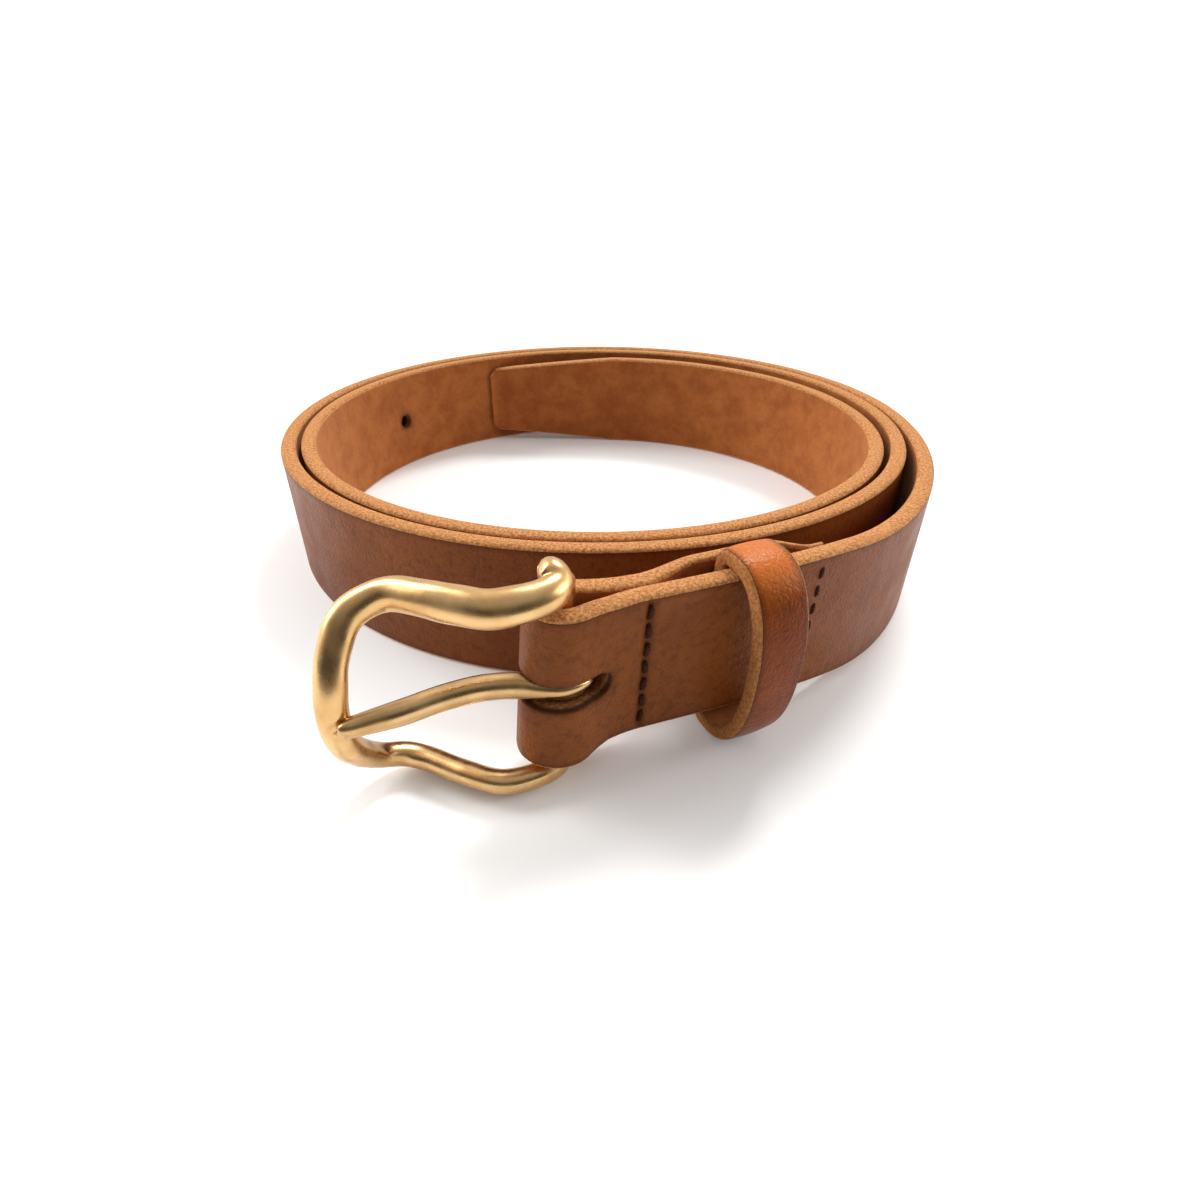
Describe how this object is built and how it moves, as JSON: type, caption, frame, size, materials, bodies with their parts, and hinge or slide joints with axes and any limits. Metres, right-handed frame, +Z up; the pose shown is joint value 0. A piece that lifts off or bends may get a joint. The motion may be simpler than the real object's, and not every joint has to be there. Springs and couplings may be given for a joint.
{
  "type": "dress belt",
  "caption": "Coiled leather belt with a brass horseshoe buckle, single tongue, keeper loop and stitched buckle fold.",
  "frame": {"origin": "centre of the footprint, on the floor the belt stands on", "axes": "+Z up, across the strap's width; the buckle lies on the -Y side and points roughly to -X"},
  "size_m": [0.1679, 0.198, 0.0416],
  "materials": {
    "strap_leather": "smooth grain, satin",
    "keeper_leather": "smooth grain, satin",
    "staple_wire": "plain wire",
    "buckle_brass": "satin, lightly worn",
    "tongue_brass": "satin, lightly worn",
    "thread": "waxed thread"
  },
  "bodies": {
    "belt": {"strap": "strap_leather", "keeper": "keeper_leather", "keeper_staple": "staple_wire", "front_stitching": "thread", "rear_stitching": "thread"},
    "frame": {"buckle_frame": "buckle_brass"},
    "tongue": {"tongue": "tongue_brass"}
  },
  "joints": [
    {"name": "frame_swing", "type": "hinge", "parent": "belt", "child": "frame", "pos_m": [-0.00747, -0.08466, 0.02082], "axis": [0, 0, 1], "range_deg": [-25, 25]},
    {"name": "tongue_swing", "type": "hinge", "parent": "frame", "child": "tongue", "pos_m": [-0.00747, -0.08466, 0.02082], "axis": [0, 0, 1], "range_deg": [0, 65]}
  ]
}
